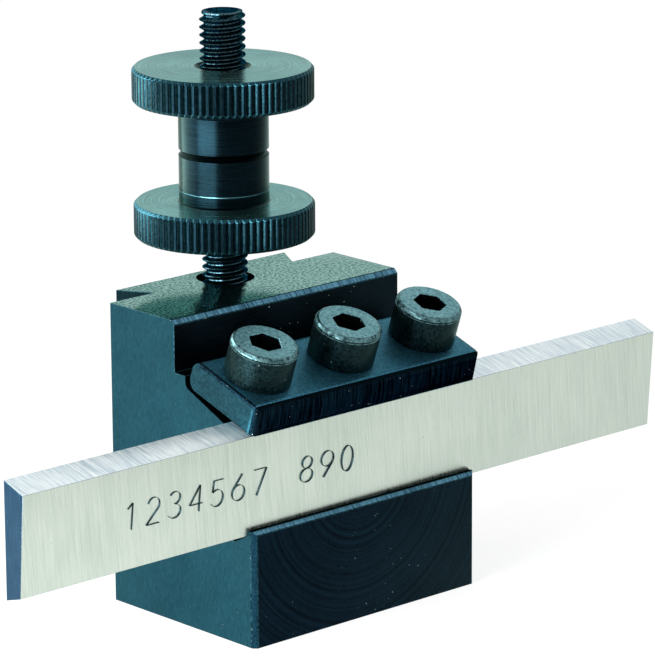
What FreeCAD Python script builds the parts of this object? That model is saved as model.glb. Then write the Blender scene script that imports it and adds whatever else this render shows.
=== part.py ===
import FreeCAD, Part
import os
import Sketcher

# Quick-change parting tool holder: a steel block with a male dovetail on its back, a
# parting blade in a slot along its front, a tilted clamp plate held by three cap screws,
# and a threaded stud with a height nut and a lock nut. Millimetres.
# Frame: +X along the blade, the blade stands at the front (-Y), +Z up. The origin lies
# on the underside, midway along the block, in the plane of the dovetail's shoulders.

os.makedirs("parts", exist_ok=True)
doc = FreeCAD.newDocument("parting_tool_holder")

# Driving dimensions
SIZES = [
    ("block_width", 30.3, "block, along the blade"),
    ("block_depth", 21.3, "block, front face to dovetail shoulders"),
    ("block_height", 31.2, "block, underside to top"),
    ("upright_chamfer", 0.5, "front upright corners of the block"),
    ("top_chamfer", 0.5, "front edge of the block's top"),
    ("dovetail_width", 22.9, "dovetail at its back face, the widest place"),
    ("dovetail_depth", 3.5, "dovetail, shoulders to back face"),
    ("dovetail_angle", 60, "dovetail flank to shoulder plane, degrees"),
    ("step_rise", 1.13, "top of the clamp seat to the ledge behind it"),
    ("ledge_depth", 1.6, "ledge, from its front edge to the upright face behind it"),
    ("floor_height", 11.5, "underside to the slot floor at the lip"),
    ("floor_angle", 27, "slot floor, falling towards the back wall, degrees"),
    ("lip_rise", 0.5, "slot floor to lip top"),
    ("lip_chamfer", 0.4, "front edge of the lip"),
    ("lip_gap", 0.03, "top of the lip to the blade's front face"),
    ("seat_angle", 24, "clamp seat, falling towards the slot, degrees"),
    ("seat_gap", 0.3, "clamp plate's underside to seat, at the back"),
    ("heel_gap", 0.45, "clamp plate's back edge to the step"),
    ("seat_fillet", 0.8, "foot of the step behind the clamp plate"),
    ("blade_length", 85, "blade"),
    ("blade_overhang", 28.3, "blade, past the block's left face"),
    ("blade_thickness", 2.8, "blade at its top"),
    ("blade_height", 11.8, "blade, back face"),
    ("blade_bevel", 16, "blade's bottom edge, rising to the front, degrees"),
    ("blade_relief", 4, "blade's front face from upright, degrees"),
    ("blade_inset", 0.2, "block's front face to blade's front face, at the top"),
    ("plate_width", 9.8, "clamp plate, front to back; it is as long as the block is wide"),
    ("plate_thickness", 3.1, "clamp plate"),
    ("plate_tilt", 19, "clamp plate and the blade's top edge, falling to the front, degrees"),
    ("plate_corner", 0.9, "clamp plate's front upright corners, radius"),
    ("plate_heel", 1.1, "clamp plate's back edges, radius"),
    ("screw_gap", 0.035, "blade's back edge to the clamp screws' shanks"),
    ("screw_pitch", 11.1, "screw to screw"),
    ("screw_count", 3, "clamp screws"),
    ("screw_diameter", 3.85, "clamp screw's shank, M4"),
    ("screw_length", 12, "clamp screw under its head"),
    ("screw_point", 0.5, "chamfer at the screw's end"),
    ("screw_head", 6.8, "clamp screw's head, diameter"),
    ("screw_head_height", 4, "clamp screw's head"),
    ("screw_head_edge", 0.35, "chamfered rim of the head"),
    ("socket_width", 3, "hexagon socket, across flats"),
    ("socket_depth", 2.2, "hexagon socket"),
    ("plate_hole_gap", 0.3, "clamp plate's hole round the screw, radial"),
    ("tapping_gap", 0.04, "block's tapped hole round the screw, radial"),
    ("tapping_extra", 2, "block's tapped hole past the screw's end"),
    ("stud_diameter", 4.7, "stud over its thread crests, M5"),
    ("stud_top", 27.6, "stud above the block's top"),
    ("stud_root", 12, "stud below the block's top"),
    ("stud_inset", 3.7, "dovetail's back face to the stud's axis"),
    ("stud_end", 0.4, "chamfer at the stud's ends"),
    ("stud_cup", 3.44, "hollow in the stud's top end, diameter"),
    ("stud_cup_depth", 0.3, "hollow in the stud's top end"),
    ("stud_fit", 0.02, "block's hole round the stud, radial"),
    ("stud_sink", 6, "countersink round the stud in the block's top, diameter"),
    ("nut_rise", 4.5, "block's top to the height nut"),
    ("nut_disc", 18.45, "knurled disc of a nut, diameter"),
    ("nut_disc_height", 3.6, "knurled disc of a nut"),
    ("nut_disc_edge", 0.3, "chamfer on the disc's rims"),
    ("nut_hub", 9.2, "hub of a nut, diameter"),
    ("nut_hub_height", 5.15, "hub of a nut"),
    ("nut_hub_edge", 0.35, "chamfer on the hub's end"),
    ("nut_line_height", 1.1, "turned line round the hub, above the disc"),
    ("nut_line_width", 0.2, "turned line round the hub"),
    ("nut_line_depth", 0.12, "turned line round the hub"),
    ("nut_sink", 5.8, "countersink of the nut's bore, diameter"),
    ("nut_fit", 0.04, "nut's bore round the stud, radial"),
    ("knurl_teeth", 78, "teeth round a disc"),
    ("knurl_depth", 0.28, "knurl groove"),
    ("knurl_land", 0.4, "share of a tooth's pitch that stays flat"),
]

# Places that follow from the driving dimensions, in the block's side view.
# u runs from the shoulder plane (0) to the front (negative), v runs up.
PLACES = [
    ("front", "-Sizes.block_depth"),
    ("slot_back", "front + Sizes.blade_inset + Sizes.blade_thickness"),
    ("blade_front", "front + Sizes.blade_inset"),
    ("face_rise", "(Sizes.blade_height - Sizes.blade_thickness"
                  " * (tan(Sizes.blade_bevel) + tan(Sizes.plate_tilt)))"
                  " / (1 - tan(Sizes.blade_relief) * tan(Sizes.blade_bevel))"),
    ("blade_foot", "blade_front + face_rise * tan(Sizes.blade_relief)"),
    ("lip_back", "blade_foot - Sizes.lip_rise * tan(Sizes.blade_relief) - Sizes.lip_gap"),
    ("lip_top", "Sizes.floor_height + Sizes.lip_rise"),
    ("floor_back", "Sizes.floor_height - (slot_back - blade_foot) * tan(Sizes.floor_angle)"),
    ("blade_heel", "Sizes.floor_height - (slot_back - blade_foot) * tan(Sizes.blade_bevel)"),
    ("blade_top_back", "blade_heel + Sizes.blade_height"),
    ("blade_top_front", "Sizes.floor_height + face_rise"),
    ("plate_back", "blade_front + Sizes.plate_width * cos(Sizes.plate_tilt)"),
    ("step", "plate_back + Sizes.heel_gap"),
    ("seat_top", "blade_top_front + (step - blade_front) * tan(Sizes.plate_tilt)"
                 " - Sizes.seat_gap / cos(Sizes.plate_tilt)"),
    ("seat_foot", "seat_top - (step - slot_back) * tan(Sizes.seat_angle)"),
    ("ledge", "seat_top + Sizes.step_rise"),
    ("head_face", "step + Sizes.ledge_depth"),
    ("screw_line", "Sizes.blade_thickness / cos(Sizes.plate_tilt) + Sizes.screw_diameter / 2"
                   " + Sizes.screw_gap"),
    ("blade_left", "-Sizes.block_width / 2 - Sizes.blade_overhang"),
    ("dovetail_root", "Sizes.dovetail_width / 2 - Sizes.dovetail_depth / tan(Sizes.dovetail_angle)"),
    ("plate_hole", "Sizes.screw_diameter + 2 * Sizes.plate_hole_gap"),
    ("tapped_hole", "Sizes.screw_diameter + 2 * Sizes.tapping_gap"),
    ("tapped_depth", "Sizes.screw_length - Sizes.plate_thickness + Sizes.tapping_extra"),
    ("stud_place", "Sizes.dovetail_depth - Sizes.stud_inset"),
    ("stud_hole", "Sizes.stud_diameter / 2 + Sizes.stud_fit"),
    ("nut_bore", "Sizes.stud_diameter / 2 + Sizes.nut_fit"),
    ("nut_height", "Sizes.nut_disc_height + Sizes.nut_hub_height"),
    ("height_nut_foot", "Sizes.block_height + Sizes.nut_rise"),
    ("lock_nut_top", "height_nut_foot + 2 * nut_height"),
    ("knurl_half", "sin(180 / Sizes.knurl_teeth) * (1 - Sizes.knurl_land) * Sizes.nut_disc / 2"),
]

sizes = doc.addObject("Spreadsheet::Sheet", "Sizes")
for row, (alias, number, note) in enumerate(SIZES, start=1):
    sizes.set(f"A{row}", alias)
    sizes.set(f"B{row}", str(number))
    sizes.set(f"C{row}", note)
    sizes.setAlias(f"B{row}", alias)

places = doc.addObject("Spreadsheet::Sheet", "Places")
for row, (alias, formula) in enumerate(PLACES, start=1):
    places.set(f"A{row}", alias)
    places.setAlias(f"B{row}", alias)
for row, (alias, formula) in enumerate(PLACES, start=1):
    places.set(f"B{row}", "=" + formula)
doc.recompute()


# Helpers
def new_body(label):
    """An empty body whose label names the piece."""
    body = doc.addObject("PartDesign::Body", label)
    body.Label = label
    return body


def new_sketch(body, name, role, offset=None):
    """A sketch on one of the body's origin planes, moved off it by bound amounts."""
    sketch = body.newObject("Sketcher::SketchObject", name)
    plane = [f for f in body.Origin.OriginFeatures if f.Role == role][0]
    sketch.AttachmentSupport = [(plane, "")]
    sketch.MapMode = "FlatFace"
    for part, formula in (offset or {}).items():
        sketch.setExpression(f"AttachmentOffset.{part}", formula)
    doc.recompute()
    return sketch


def hold(sketch, edge, end, across, up):
    """Bind the place of one end of an edge to two formulas."""
    for kind, formula in (("DistanceX", across), ("DistanceY", up)):
        start = float(sketch.evalExpression(formula))
        number = sketch.addConstraint(Sketcher.Constraint(kind, -1, 1, edge, end, start))
        sketch.setExpression(f"Constraints[{number}]", formula)


def outline(sketch, corners):
    """Draw a closed outline of straight edges through corners given as formulas."""
    spots = [
        FreeCAD.Vector(float(sketch.evalExpression(u)), float(sketch.evalExpression(v)), 0)
        for u, v in corners
    ]
    for number, spot in enumerate(spots):
        sketch.addGeometry(Part.LineSegment(spot, spots[(number + 1) % len(spots)]))
    for number in range(len(spots)):
        following = (number + 1) % len(spots)
        sketch.addConstraint(Sketcher.Constraint("Coincident", number, 2, following, 1))
    for number, (u, v) in enumerate(corners):
        hold(sketch, number, 1, u, v)
    doc.recompute()


def circle(sketch, across, up, diameter):
    """Draw a circle whose centre and diameter are formulas."""
    spot = FreeCAD.Vector(float(sketch.evalExpression(across)), float(sketch.evalExpression(up)), 0)
    width = float(sketch.evalExpression(diameter))
    edge = sketch.addGeometry(Part.Circle(spot, FreeCAD.Vector(0, 0, 1), width / 2))
    hold(sketch, edge, 3, across, up)
    number = sketch.addConstraint(Sketcher.Constraint("Diameter", edge, width))
    sketch.setExpression(f"Constraints[{number}]", diameter)
    doc.recompute()


def datum(body, role):
    """One of the body's origin axes or planes, as a link."""
    return ([f for f in body.Origin.OriginFeatures if f.Role == role][0], [""])


def feature(body, kind, name, sketch, formulas=None, **settings):
    """Add a sketch-based feature, with settings and bound lengths."""
    made = body.newObject(f"PartDesign::{kind}", name)
    made.Profile = sketch
    for key, choice in settings.items():
        setattr(made, key, choice)
    for key, formula in (formulas or {}).items():
        made.setExpression(key, formula)
    doc.recompute()
    return made


def cut(body, kind, name, sketch, formulas=None, **settings):
    """Add a cutting feature and make sure that it takes material away."""
    before = body.Shape.Volume
    made = feature(body, kind, name, sketch, formulas, **settings)
    if not body.Shape.Volume < before - 0.001:
        raise RuntimeError(f"{name} cuts nothing")
    return made


def dress(body, kind, name, base, edges, formula, key):
    """Fillet or chamfer the named edges of the feature before."""
    made = body.newObject(f"PartDesign::{kind}", name)
    made.Base = (base, edges)
    made.setExpression(key, formula)
    doc.recompute()
    return made


def edges_where(shape, test):
    """Names of the edges whose two ends both pass the test."""
    names = []
    for number, edge in enumerate(shape.Edges, start=1):
        ends = [vertex.Point for vertex in edge.Vertexes]
        if len(ends) == 2 and all(test(point) for point in ends):
            names.append(f"Edge{number}")
    return names


def close(first, second):
    """Whether two lengths are the same within a thousandth."""
    return abs(first - second) < 0.001


# Holder block: side profile, dovetail, tapped holes, stud hole
def holder_block():
    """Build the block from its side profile."""
    body = new_body("holder_block")
    side = new_sketch(body, "side_profile", "YZ_Plane")
    outline(side, [
        ("Places.front", "0 * Sizes.block_height"),
        ("Places.front", "Places.lip_top - Sizes.lip_chamfer"),
        ("Places.front + Sizes.lip_chamfer", "Places.lip_top"),
        ("Places.lip_back", "Places.lip_top"),
        ("Places.lip_back", "Sizes.floor_height"),
        ("Places.blade_foot", "Sizes.floor_height"),
        ("Places.slot_back", "Places.floor_back"),
        ("Places.slot_back", "Places.seat_foot"),
        ("Places.step", "Places.seat_top"),
        ("Places.step", "Places.ledge"),
        ("Places.head_face", "Places.ledge"),
        ("Places.head_face", "Sizes.block_height - Sizes.top_chamfer"),
        ("Places.head_face + Sizes.top_chamfer", "Sizes.block_height"),
        ("0 * Sizes.block_depth", "Sizes.block_height"),
        ("0 * Sizes.block_depth", "0 * Sizes.block_height"),
    ])
    block = feature(body, "Pad", "block_pad", side, {"Length": "Sizes.block_width"}, Midplane=True)

    step_foot = edges_where(
        block.Shape, lambda p: close(p.y, places.step) and close(p.z, places.seat_top))
    dress(body, "Fillet", "seat_fillet", block, step_foot, "Sizes.seat_fillet", "Radius")
    corner = new_sketch(body, "upright_chamfer_plan", "XY_Plane")
    outline(corner, [
        ("-Sizes.block_width / 2", "Places.front + Sizes.upright_chamfer"),
        ("-Sizes.block_width / 2 - Sizes.upright_chamfer", "Places.front"),
        ("-Sizes.block_width / 2", "Places.front - Sizes.upright_chamfer"),
        ("-Sizes.block_width / 2 + Sizes.upright_chamfer", "Places.front"),
    ])
    chamfer = cut(body, "Pocket", "left_upright_chamfer", corner, Type="ThroughAll", Reversed=True)
    mirror = body.newObject("PartDesign::Mirrored", "right_upright_chamfer")
    mirror.Originals = [chamfer]
    mirror.MirrorPlane = datum(body, "YZ_Plane")
    body.Tip = mirror

    plan = new_sketch(body, "dovetail_plan", "XY_Plane")
    outline(plan, [
        ("-Places.dovetail_root", "0 * Sizes.dovetail_depth"),
        ("-Sizes.dovetail_width / 2", "Sizes.dovetail_depth"),
        ("Sizes.dovetail_width / 2", "Sizes.dovetail_depth"),
        ("Places.dovetail_root", "0 * Sizes.dovetail_depth"),
    ])
    feature(body, "Pad", "dovetail_pad", plan, {"Length": "Sizes.block_height"})

    screw_plane = new_sketch(body, "tapped_hole_plan", "XY_Plane", {
        "Base.y": "Places.blade_front",
        "Base.z": "Places.blade_top_front",
        "Rotation.Axis.x": "1 + 0 * Sizes.plate_tilt",
        "Rotation.Axis.z": "0 * Sizes.plate_tilt",
        "Rotation.Angle": "Sizes.plate_tilt",
    })
    circle(screw_plane, "-Sizes.screw_pitch * (Sizes.screw_count - 1) / 2",
           "Places.screw_line", "Places.tapped_hole")
    drilled = cut(body, "Pocket", "tapped_hole", screw_plane, {"Length": "Places.tapped_depth"})
    row = body.newObject("PartDesign::LinearPattern", "tapped_holes")
    row.Originals = [drilled]
    row.Direction = datum(body, "X_Axis")
    row.setExpression("Length", "Sizes.screw_pitch * (Sizes.screw_count - 1)")
    row.setExpression("Occurrences", "Sizes.screw_count")
    body.Tip = row
    doc.recompute()

    bore = new_sketch(body, "stud_hole_profile", "XZ_Plane", {"Base.z": "-Places.stud_place"})
    sink_depth = "(Sizes.stud_sink / 2 - Places.stud_hole)"
    outline(bore, [
        ("0 * Sizes.stud_sink", "Sizes.block_height - Sizes.stud_root"),
        ("Places.stud_hole", "Sizes.block_height - Sizes.stud_root"),
        ("Places.stud_hole", f"Sizes.block_height - {sink_depth}"),
        ("Sizes.stud_sink / 2", "Sizes.block_height"),
        ("0 * Sizes.stud_sink", "Sizes.block_height"),
    ])
    cut(body, "Groove", "stud_hole", bore, ReferenceAxis=(bore, ["V_Axis"]), Angle=360)
    return body


# Parting blade: bevelled top and bottom, front face leaning back
def parting_blade():
    """Build the blade from its cross-section."""
    body = new_body("parting_blade")
    section = new_sketch(body, "blade_section", "YZ_Plane", {"Base.z": "Places.blade_left"})
    outline(section, [
        ("Places.slot_back", "Places.blade_heel"),
        ("Places.slot_back", "Places.blade_top_back"),
        ("Places.blade_front", "Places.blade_top_front"),
        ("Places.blade_foot", "Sizes.floor_height"),
    ])
    feature(body, "Pad", "blade_pad", section, {"Length": "Sizes.blade_length"})
    return body


# Clamp plate: drawn flat with its lower front edge as the body's X axis, then tilted
def clamp_plate():
    """Build the plate that presses the blade into its slot."""
    body = new_body("clamp_plate")
    plan = new_sketch(body, "plate_plan", "XY_Plane")
    outline(plan, [
        ("-Sizes.block_width / 2", "0 * Sizes.plate_width"),
        ("Sizes.block_width / 2", "0 * Sizes.plate_width"),
        ("Sizes.block_width / 2", "Sizes.plate_width"),
        ("-Sizes.block_width / 2", "Sizes.plate_width"),
    ])
    slab = feature(body, "Pad", "plate_pad", plan, {"Length": "Sizes.plate_thickness"})
    corners = edges_where(
        slab.Shape, lambda p: close(abs(p.x), sizes.block_width / 2) and close(p.y, 0))
    dress(body, "Fillet", "corner_fillets", slab, corners, "Sizes.plate_corner", "Radius")
    back = [
        name for name in edges_where(body.Shape, lambda p: close(p.y, sizes.plate_width))
        if body.Shape.getElement(name).Length > sizes.block_width / 2
    ]
    dress(body, "Fillet", "heel_fillets", body.Tip, back, "Sizes.plate_heel", "Radius")

    holes = new_sketch(body, "plate_hole_plan", "XY_Plane")
    circle(holes, "-Sizes.screw_pitch * (Sizes.screw_count - 1) / 2",
           "Places.screw_line", "Places.plate_hole")
    drilled = cut(body, "Pocket", "plate_hole", holes, Type="ThroughAll", Reversed=True)
    row = body.newObject("PartDesign::LinearPattern", "plate_holes")
    row.Originals = [drilled]
    row.Direction = datum(body, "X_Axis")
    row.setExpression("Length", "Sizes.screw_pitch * (Sizes.screw_count - 1)")
    row.setExpression("Occurrences", "Sizes.screw_count")
    body.Tip = row

    body.setExpression("Placement.Base.y", "Places.blade_front")
    body.setExpression("Placement.Base.z", "Places.blade_top_front")
    body.setExpression("Placement.Rotation.Axis.x", "1 + 0 * Sizes.plate_tilt")
    body.setExpression("Placement.Rotation.Axis.z", "0 * Sizes.plate_tilt")
    body.setExpression("Placement.Rotation.Angle", "Sizes.plate_tilt")
    doc.recompute()
    return body


# Clamp screws: turned about their own Z axis, head on the clamp plate
def clamp_screw(label, place):
    """Build one cap screw; place counts from the left, starting at 0."""
    body = new_body(label)
    profile = new_sketch(body, label + "_profile", "XZ_Plane")
    outline(profile, [
        ("0 * Sizes.screw_head", "-Sizes.screw_length"),
        ("Sizes.screw_diameter / 2 - Sizes.screw_point", "-Sizes.screw_length"),
        ("Sizes.screw_diameter / 2", "Sizes.screw_point - Sizes.screw_length"),
        ("Sizes.screw_diameter / 2", "0 * Sizes.screw_head"),
        ("Sizes.screw_head / 2", "0 * Sizes.screw_head"),
        ("Sizes.screw_head / 2", "Sizes.screw_head_height"),
        ("0 * Sizes.screw_head", "Sizes.screw_head_height"),
    ])
    turned = feature(body, "Revolution", label + "_turned", profile,
                     ReferenceAxis=(profile, ["V_Axis"]), Angle=360)
    rim = [
        f"Edge{number}" for number, edge in enumerate(turned.Shape.Edges, start=1)
        if close(edge.BoundBox.ZMin, sizes.screw_head_height)
        and close(edge.BoundBox.XMax, sizes.screw_head / 2)
    ]
    dress(body, "Chamfer", label + "_rim", turned, rim, "Sizes.screw_head_edge", "Size")

    socket = new_sketch(body, label + "_socket", "XY_Plane", {"Base.z": "Sizes.screw_head_height"})
    corner = "Sizes.socket_width / sqrt(3)"
    outline(socket, [
        (f"{corner} * cos({60 * side})", f"{corner} * sin({60 * side})") for side in range(6)
    ])
    cut(body, "Pocket", label + "_hexagon", socket, {"Length": "Sizes.socket_depth"})

    reach = "Places.screw_line * {} - Sizes.plate_thickness * {}"
    rise = "Places.screw_line * {} + Sizes.plate_thickness * {}"
    cosine = "cos(Sizes.plate_tilt)"
    sine = "sin(Sizes.plate_tilt)"
    body.setExpression(
        "Placement.Base.x", f"Sizes.screw_pitch * ({place} - (Sizes.screw_count - 1) / 2)")
    body.setExpression("Placement.Base.y", "Places.blade_front + " + reach.format(cosine, sine))
    body.setExpression("Placement.Base.z", "Places.blade_top_front + " + rise.format(sine, cosine))
    body.setExpression("Placement.Rotation.Axis.x", "1 + 0 * Sizes.plate_tilt")
    body.setExpression("Placement.Rotation.Axis.z", "0 * Sizes.plate_tilt")
    body.setExpression("Placement.Rotation.Angle", "Sizes.plate_tilt")
    doc.recompute()
    return body


# Height stud: turned, seated at the bottom of its hole
def height_stud():
    """Build the stud over its thread crests, with chamfered ends and a cupped top."""
    body = new_body("height_stud")
    profile = new_sketch(body, "stud_profile", "XZ_Plane", {"Base.z": "-Places.stud_place"})
    foot = "Sizes.block_height - Sizes.stud_root"
    top = "Sizes.block_height + Sizes.stud_top"
    outline(profile, [
        ("0 * Sizes.stud_end", foot),
        ("Sizes.stud_diameter / 2 - Sizes.stud_end", foot),
        ("Sizes.stud_diameter / 2", f"{foot} + Sizes.stud_end"),
        ("Sizes.stud_diameter / 2", f"{top} - Sizes.stud_end"),
        ("Sizes.stud_diameter / 2 - Sizes.stud_end", top),
        ("Sizes.stud_cup / 2", top),
        ("0 * Sizes.stud_end", f"{top} - Sizes.stud_cup_depth"),
    ])
    feature(body, "Revolution", "stud_turned", profile,
            ReferenceAxis=(profile, ["V_Axis"]), Angle=360)
    return body


# Nuts: a knurled disc with a hub, turned and then knurled
def knurled_nut(label):
    """Build one nut with its disc on the body's XY plane and its hub pointing up."""
    body = new_body(label)
    profile = new_sketch(body, label + "_profile", "XZ_Plane")
    sink_depth = "(Sizes.nut_sink / 2 - Places.nut_bore)"
    line_foot = "Sizes.nut_disc_height + Sizes.nut_line_height"
    outline(profile, [
        ("Sizes.nut_sink / 2", "0 * Sizes.nut_disc"),
        ("Sizes.nut_disc / 2 - Sizes.nut_disc_edge", "0 * Sizes.nut_disc"),
        ("Sizes.nut_disc / 2", "Sizes.nut_disc_edge"),
        ("Sizes.nut_disc / 2", "Sizes.nut_disc_height - Sizes.nut_disc_edge"),
        ("Sizes.nut_disc / 2 - Sizes.nut_disc_edge", "Sizes.nut_disc_height"),
        ("Sizes.nut_hub / 2", "Sizes.nut_disc_height"),
        ("Sizes.nut_hub / 2", line_foot),
        ("Sizes.nut_hub / 2 - Sizes.nut_line_depth", f"{line_foot} + Sizes.nut_line_width / 2"),
        ("Sizes.nut_hub / 2", f"{line_foot} + Sizes.nut_line_width"),
        ("Sizes.nut_hub / 2", "Places.nut_height - Sizes.nut_hub_edge"),
        ("Sizes.nut_hub / 2 - Sizes.nut_hub_edge", "Places.nut_height"),
        ("Places.nut_bore", "Places.nut_height"),
        ("Places.nut_bore", sink_depth),
    ])
    feature(body, "Revolution", label + "_turned", profile,
            ReferenceAxis=(profile, ["V_Axis"]), Angle=360)

    groove = new_sketch(body, label + "_groove", "XY_Plane")
    outline(groove, [
        ("Sizes.nut_disc / 2 - Sizes.knurl_depth", "0 * Places.knurl_half"),
        ("Sizes.nut_disc / 2 + Sizes.knurl_depth", "-2 * Places.knurl_half"),
        ("Sizes.nut_disc / 2 + Sizes.knurl_depth", "2 * Places.knurl_half"),
    ])
    furrow = cut(body, "Pocket", label + "_furrow", groove,
                 {"Length": "Sizes.nut_disc_height"}, Reversed=True)
    knurl = body.newObject("PartDesign::PolarPattern", label + "_knurl")
    knurl.Originals = [furrow]
    knurl.Axis = datum(body, "Z_Axis")
    knurl.Angle = 360
    knurl.setExpression("Occurrences", "Sizes.knurl_teeth")
    body.Tip = knurl
    body.setExpression("Placement.Base.y", "Places.stud_place")
    doc.recompute()
    return body


def height_nut():
    """The lower nut, disc down, which rests on the tool post."""
    body = knurled_nut("height_nut")
    body.setExpression("Placement.Base.z", "Places.height_nut_foot")
    doc.recompute()
    return body


def lock_nut():
    """The upper nut, turned over and jammed hub to hub on the height nut."""
    body = knurled_nut("lock_nut")
    body.setExpression("Placement.Base.z", "Places.lock_nut_top")
    body.setExpression("Placement.Rotation.Axis.x", "1 + 0 * Sizes.nut_disc")
    body.setExpression("Placement.Rotation.Axis.z", "0 * Sizes.nut_disc")
    body.setExpression("Placement.Rotation.Angle", "180 + 0 * Sizes.nut_disc")
    doc.recompute()
    return body


pieces = [
    holder_block(),
    parting_blade(),
    clamp_plate(),
    clamp_screw("clamp_screw_left", 0),
    clamp_screw("clamp_screw_middle", 1),
    clamp_screw("clamp_screw_right", 2),
    height_stud(),
    height_nut(),
    lock_nut(),
]
doc.recompute()

for item in doc.Objects:
    if "Invalid" in item.State or "Error" in item.State:
        raise RuntimeError(f"{item.Label} did not build")
for piece in pieces:
    if piece.Shape.isNull() or not piece.Shape.isValid() or len(piece.Shape.Solids) != 1:
        raise RuntimeError(f"{piece.Label} is not one valid solid")
for piece in pieces:
    piece.Shape.exportStep(f"parts/{piece.Label}.step")
    print(piece.Label, round(piece.Shape.Volume, 2), "mm3")
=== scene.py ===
"""Looks of a quick-change parting tool holder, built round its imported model."""

import logging
import math
from collections.abc import Mapping, Sequence
from dataclasses import dataclass
from enum import Enum, auto

import bmesh
import bpy
from bmesh.types import BMEdge, BMesh
from bpy.types import ID, Material, Mesh, Node, NodeSocket, NodeTree, Object, World
from mathutils import Matrix, Vector


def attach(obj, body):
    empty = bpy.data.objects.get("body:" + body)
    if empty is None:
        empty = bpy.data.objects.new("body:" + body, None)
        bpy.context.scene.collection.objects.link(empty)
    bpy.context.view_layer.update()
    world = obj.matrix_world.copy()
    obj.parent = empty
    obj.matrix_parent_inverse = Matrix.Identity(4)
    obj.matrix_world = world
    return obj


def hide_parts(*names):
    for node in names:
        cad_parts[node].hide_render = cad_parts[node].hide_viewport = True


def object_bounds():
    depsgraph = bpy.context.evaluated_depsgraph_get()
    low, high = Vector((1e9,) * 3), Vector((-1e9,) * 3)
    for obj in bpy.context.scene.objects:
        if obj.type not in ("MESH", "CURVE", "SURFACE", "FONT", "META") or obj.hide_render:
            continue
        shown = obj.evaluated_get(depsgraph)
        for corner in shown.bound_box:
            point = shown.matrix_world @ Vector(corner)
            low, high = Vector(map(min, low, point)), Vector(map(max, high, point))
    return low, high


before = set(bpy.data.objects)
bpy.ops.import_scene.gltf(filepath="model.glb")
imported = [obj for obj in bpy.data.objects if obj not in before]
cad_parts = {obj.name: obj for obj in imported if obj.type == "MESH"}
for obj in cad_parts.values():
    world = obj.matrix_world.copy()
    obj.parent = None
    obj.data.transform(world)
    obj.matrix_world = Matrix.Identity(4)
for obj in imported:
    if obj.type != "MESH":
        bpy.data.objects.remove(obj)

MODEL_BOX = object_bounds()
MM = 0.001
TURNING_UV = "turning"
FACING = 0.9  # a face this near to a direction counts as facing it
WELD = 0.001 * MM  # CAD corners nearer than this are one corner
SEW = 0.002 * MM  # a thread's turns are sewn together within this
ON_CUT = 0.003 * MM  # a point this near to a rod's end lies on its rim
FLANK = (0.07, 0.42)  # a thread's flank, in pitches from the middle of its crest
ACROSS_THREAD = 11  # points from one turn of a thread to the next
NICK_FADE = 0.03  # the soft rim of a nick, as a share of the noise's range
CROWDING = 0.3  # how far the stains' clouds gather the nicks

Pair = tuple[float, float]
Triple = tuple[float, float, float]

log = logging.getLogger("tool_holder")


# Node helpers


def linear(code: str) -> tuple[float, float, float, float]:
    """Turn an sRGB hex colour into linear light, by the standard's own curve.

    Args:
        code: the colour as "#rrggbb".

    Returns:
        Red, green, blue and an opacity of 1.
    """
    channels = [int(code[place:place + 2], 16) / 255 for place in (1, 3, 5)]
    red, green, blue = (
        part / 12.92 if part <= 0.04045 else ((part + 0.055) / 1.055) ** 2.4
        for part in channels
    )
    return (red, green, blue, 1.0)


def add(
    tree: NodeTree,
    kind: str,
    inputs: Mapping[str | int, object] | Sequence[object] = (),
    **settings: object,
) -> Node:
    """Add a node to a tree with its settings and links.

    Args:
        tree: the node tree that gets the node.
        kind: the node's type name.
        inputs: for each input, by name or number, a value, a socket or a node
            whose first output is meant.
        settings: properties of the node itself.

    Returns:
        The new node.
    """
    node = tree.nodes.new(kind)
    for key, choice in settings.items():
        setattr(node, key, choice)
    for key, source in inputs.items() if isinstance(inputs, Mapping) else enumerate(inputs):
        if isinstance(source, Node):
            source = source.outputs[0]
        if isinstance(source, NodeSocket):
            tree.links.new(source, node.inputs[key])
        else:
            node.inputs[key].default_value = source
    return node


def calc(tree: NodeTree, operation: str, *values: object, clamp: bool = False) -> Node:
    """Add a math node for numbers, sockets or nodes."""
    return add(tree, "ShaderNodeMath", values, operation=operation, use_clamp=clamp)


def stretch(tree: NodeTree, value: object, low: object, high: object, start: float = 0.0,
            end: float = 1.0, kind: str = "LINEAR") -> Node:
    """Map a value from low..high to start..end and cut it off there."""
    return add(tree, "ShaderNodeMapRange", {
        "Value": value, "From Min": low, "From Max": high, "To Min": start, "To Max": end},
        interpolation_type=kind)


def blend(tree: NodeTree, share: object, first: object, second: object) -> Node:
    """Mix two numbers."""
    return add(tree, "ShaderNodeMix", {0: share, 2: first, 3: second})


def tint(tree: NodeTree, share: object, first: object, second: object) -> NodeSocket:
    """Mix two colours."""
    mixed = add(tree, "ShaderNodeMix", {0: share, 6: first, 7: second}, data_type="RGBA")
    return mixed.outputs[2]


def noise(tree: NodeTree, place: object, size_mm: float, detail: float = 2.0,
          roughness: float = 0.5) -> Node:
    """Add clouds or specks of one size in real millimetres."""
    return add(tree, "ShaderNodeTexNoise", {
        "Vector": place, "Scale": 1 / (size_mm * MM), "Detail": detail,
        "Roughness": roughness})


def blank(owner: Material | World) -> NodeTree:
    """Switch a material or world to nodes and hand out its empty tree."""
    owner.use_nodes = True
    owner.node_tree.nodes.clear()
    return owner.node_tree


# Finishes


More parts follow.
